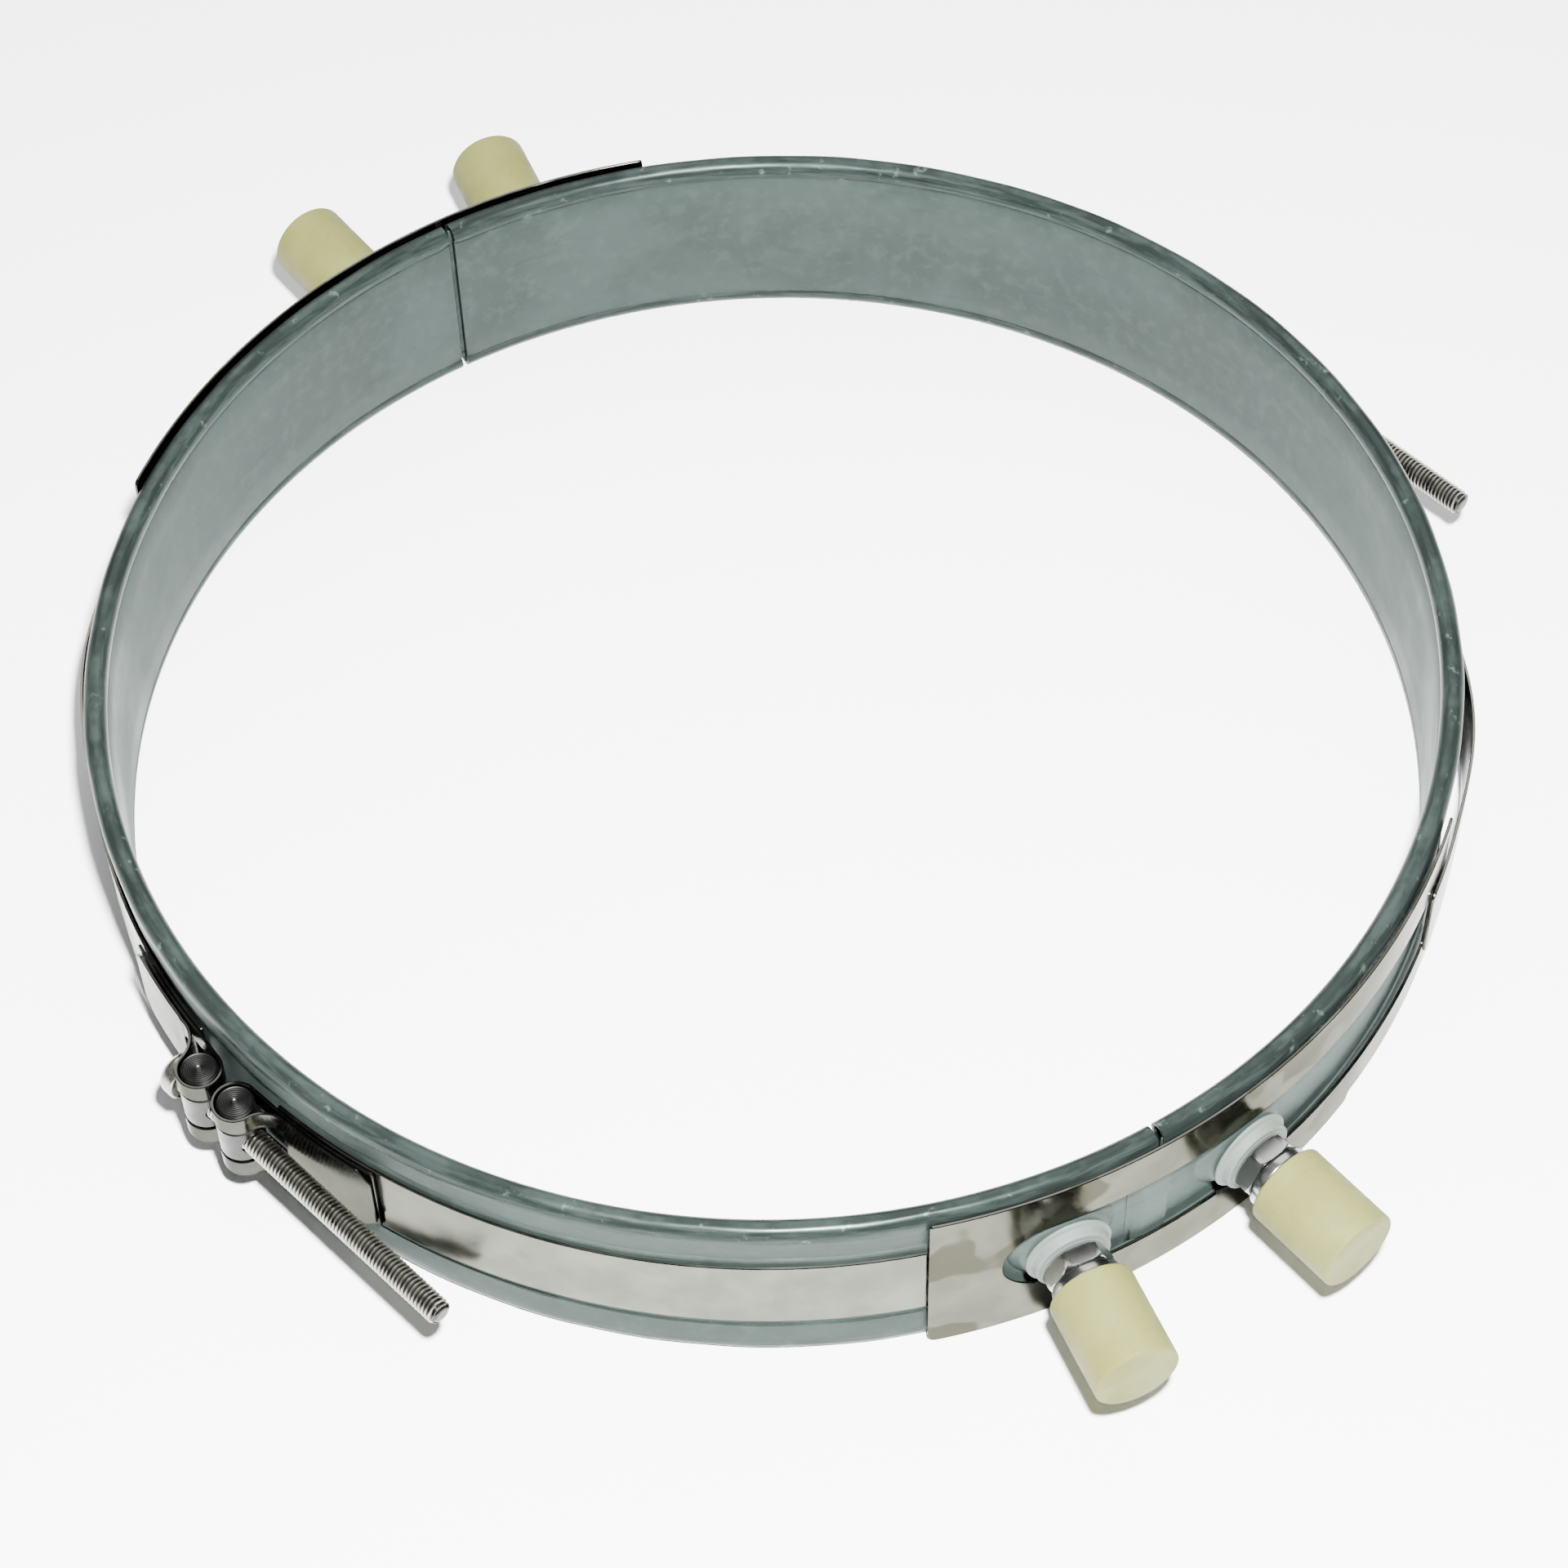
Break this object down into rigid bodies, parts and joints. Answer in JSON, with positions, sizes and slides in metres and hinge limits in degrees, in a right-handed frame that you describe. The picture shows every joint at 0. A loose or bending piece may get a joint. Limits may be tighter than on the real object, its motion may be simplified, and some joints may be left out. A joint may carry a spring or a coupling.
{
  "type": "band heater",
  "caption": "Two-piece mica band heater that heats a round barrel, its half shells drawn together by a strap with barrel-nut clamp screws and wired at ceramic-capped stud terminals.",
  "frame": {"origin": "centre of the ring's underside, on the bore's axis", "axes": "+Z along the bore, +X and -X through the two clamps, -Y towards the front pair of terminals"},
  "size_m": [0.2209, 0.2542, 0.032],
  "materials": {
    "galvanised_sheet": "blue-grey galvanised sheet",
    "mica": "pressed mica sheet",
    "resistance_alloy": "dull oxidised ribbon",
    "bright_stainless": "bright rolled stainless",
    "turned_steel": "turned, dark",
    "plated_steel": "bright nickel plate",
    "pale_insulation": "matt pale grey",
    "cream_ceramic": "unglazed cream"
  },
  "bodies": {
    "right_shell": {"right_shell_liner": "galvanised_sheet", "right_inner_mica": "mica", "right_winding": "resistance_alloy", "right_outer_mica": "mica", "right_shell_cover": "galvanised_sheet", "front_right_stud": "plated_steel", "front_right_pale_washer": "pale_insulation", "front_right_nut": "plated_steel", "front_right_collar": "plated_steel", "rear_right_stud": "plated_steel", "rear_right_pale_washer": "pale_insulation", "rear_right_nut": "plated_steel", "rear_right_collar": "plated_steel"},
    "left_shell": {"left_shell_liner": "galvanised_sheet", "left_inner_mica": "mica", "left_winding": "resistance_alloy", "left_outer_mica": "mica", "left_shell_cover": "galvanised_sheet", "front_left_stud": "plated_steel", "front_left_pale_washer": "pale_insulation", "front_left_nut": "plated_steel", "front_left_collar": "plated_steel", "rear_left_stud": "plated_steel", "rear_left_pale_washer": "pale_insulation", "rear_left_nut": "plated_steel", "rear_left_collar": "plated_steel"},
    "front_strap": {"front_terminal_plate": "bright_stainless", "front_left_strap": "bright_stainless", "front_right_strap": "bright_stainless", "front_left_loop": "bright_stainless", "front_right_loop": "bright_stainless"},
    "rear_strap": {"rear_terminal_plate": "bright_stainless", "rear_left_strap": "bright_stainless", "rear_right_strap": "bright_stainless", "rear_left_loop": "bright_stainless", "rear_right_loop": "bright_stainless"},
    "front_left_barrel": {"front_left_barrel": "turned_steel"},
    "front_right_barrel": {"front_right_barrel": "turned_steel"},
    "rear_left_barrel": {"rear_left_barrel": "turned_steel"},
    "rear_right_barrel": {"rear_right_barrel": "turned_steel"},
    "left_screw": {"left_clamp_screw": "plated_steel"},
    "right_screw": {"right_clamp_screw": "plated_steel"},
    "front_left_insert": {"front_left_cap_insert": "plated_steel"},
    "front_left_cap": {"front_left_cap": "cream_ceramic"},
    "front_right_insert": {"front_right_cap_insert": "plated_steel"},
    "front_right_cap": {"front_right_cap": "cream_ceramic"},
    "rear_right_insert": {"rear_right_cap_insert": "plated_steel"},
    "rear_right_cap": {"rear_right_cap": "cream_ceramic"},
    "rear_left_insert": {"rear_left_cap_insert": "plated_steel"},
    "rear_left_cap": {"rear_left_cap": "cream_ceramic"}
  },
  "joints": [
    {"name": "left_shell_slide", "type": "slide", "parent": "right_shell", "child": "left_shell", "axis": [0.9744, -0.225, 0], "range_m": [0, 0.0009]},
    {"name": "front_strap_slide", "type": "slide", "parent": "right_shell", "child": "front_strap", "axis": [0, -1, 0], "range_m": [-0.00021, 0.00701]},
    {"name": "rear_strap_slide", "type": "slide", "parent": "right_shell", "child": "rear_strap", "axis": [0, 1, 0], "range_m": [-0.0002, 0.007]},
    {"name": "left_screw_turn", "type": "hinge", "parent": "rear_strap", "child": "left_screw", "pos_m": [-0.1072, 0.0113, 0.016], "axis": [0, 1, 0], "range_deg": [-206.5, 7210]},
    {"name": "right_screw_turn", "type": "hinge", "parent": "rear_strap", "child": "right_screw", "pos_m": [0.1067, 0.0075, 0.0141], "axis": [0, 1, 0], "range_deg": [-206.5, 7210]},
    {"name": "front_left_barrel_swivel", "type": "hinge", "parent": "front_strap", "child": "front_left_barrel", "pos_m": [-0.1072, -0.0004, 0.016], "axis": [0, 0, 1], "range_deg": [-2.5, 2.5]},
    {"name": "front_right_barrel_swivel", "type": "hinge", "parent": "front_strap", "child": "front_right_barrel", "pos_m": [0.1067, -0.0042, 0.0141], "axis": [0, 0, 1], "range_deg": [-2.5, 2.5]},
    {"name": "rear_left_barrel_swivel", "type": "hinge", "parent": "rear_strap", "child": "rear_left_barrel", "pos_m": [-0.1072, 0.0076, 0.016], "axis": [0, 0, 1], "range_deg": [-2.5, 2.5]},
    {"name": "rear_right_barrel_swivel", "type": "hinge", "parent": "rear_strap", "child": "rear_right_barrel", "pos_m": [0.1067, 0.0038, 0.0141], "axis": [0, 0, 1], "range_deg": [-2.5, 2.5]},
    {"name": "front_left_insert_slide", "type": "slide", "parent": "left_shell", "child": "front_left_insert", "axis": [-0.3633, -0.9317, 0], "range_m": [0, 0.00801]},
    {"name": "front_left_cap_turn", "type": "hinge", "parent": "front_left_insert", "child": "front_left_cap", "pos_m": [-0.04359, -0.1118, 0.016], "axis": [-0.3633, -0.9317, 0], "range_deg": [0, 3600]},
    {"name": "front_right_insert_slide", "type": "slide", "parent": "right_shell", "child": "front_right_insert", "axis": [-0.0767, -0.9971, 0], "range_m": [0, 0.00801]},
    {"name": "front_right_cap_turn", "type": "hinge", "parent": "front_right_insert", "child": "front_right_cap", "pos_m": [-0.00921, -0.11965, 0.016], "axis": [-0.0767, -0.9971, 0], "range_deg": [0, 3600]},
    {"name": "rear_right_insert_slide", "type": "slide", "parent": "right_shell", "child": "rear_right_insert", "axis": [0.373, 0.9278, 0], "range_m": [0, 0.00801]},
    {"name": "rear_right_cap_turn", "type": "hinge", "parent": "rear_right_insert", "child": "rear_right_cap", "pos_m": [0.04476, 0.11134, 0.016], "axis": [0.373, 0.9278, 0], "range_deg": [0, 3600]},
    {"name": "rear_left_insert_slide", "type": "slide", "parent": "left_shell", "child": "rear_left_insert", "axis": [0.1132, 0.9936, 0], "range_m": [0, 0.00801]},
    {"name": "rear_left_cap_turn", "type": "hinge", "parent": "rear_left_insert", "child": "rear_left_cap", "pos_m": [0.01358, 0.11923, 0.016], "axis": [0.1132, 0.9936, 0], "range_deg": [0, 3600]}
  ],
  "couplings": [
    {"joint": "front_strap_slide", "follows": "rear_strap_slide", "ratio": 1},
    {"joint": "left_screw_turn", "follows": "rear_strap_slide", "rad_per_m": 17952},
    {"joint": "right_screw_turn", "follows": "rear_strap_slide", "rad_per_m": 17952},
    {"joint": "front_left_insert_slide", "follows": "front_left_cap_turn", "m_per_rad": 0.00012732},
    {"joint": "front_right_insert_slide", "follows": "front_right_cap_turn", "m_per_rad": 0.00012732},
    {"joint": "rear_right_insert_slide", "follows": "rear_right_cap_turn", "m_per_rad": 0.00012732},
    {"joint": "rear_left_insert_slide", "follows": "rear_left_cap_turn", "m_per_rad": 0.00012732}
  ]
}
